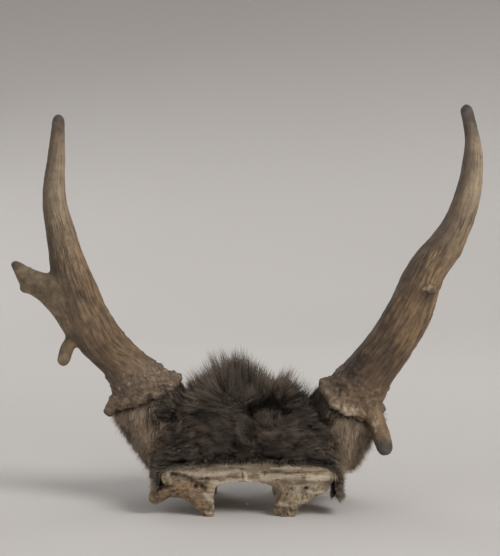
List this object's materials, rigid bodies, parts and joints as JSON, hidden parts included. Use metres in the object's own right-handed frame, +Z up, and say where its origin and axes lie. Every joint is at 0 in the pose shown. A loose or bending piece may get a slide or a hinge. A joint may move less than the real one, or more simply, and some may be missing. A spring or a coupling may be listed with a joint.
{
  "type": "deer antlers on skull plate",
  "caption": "Pair of weathered, branched deer antlers on a sawn skull plate that still carries its dried scalp and dark fur; stands on the sawn underside.",
  "frame": {"origin": "on the sawn underside that it stands on, below the middle of its overall box", "axes": "+X across the spread, towards the antler at a viewer's right who faces the forehead; +Y from the sawn forehead to the back of the skull; +Z up, towards the tips"},
  "size_m": [0.4682, 0.154, 0.4024],
  "materials": {
    "bone": "dry weathered bone, matt and porous, stained brown",
    "antler": "ridged brown antler bone with paler worn ridges, matt",
    "hide": "hard dried rawhide with short tan hair",
    "fur": "dense dark brown fur, soft and dull"
  },
  "bodies": {
    "root": {"skull_plate": "bone", "antler_left": "antler", "antler_left_fork": "antler", "antler_right": "antler", "antler_right_brow_tine": "antler", "scalp_skin": "hide", "scalp_fur": "fur"}
  },
  "joints": []
}
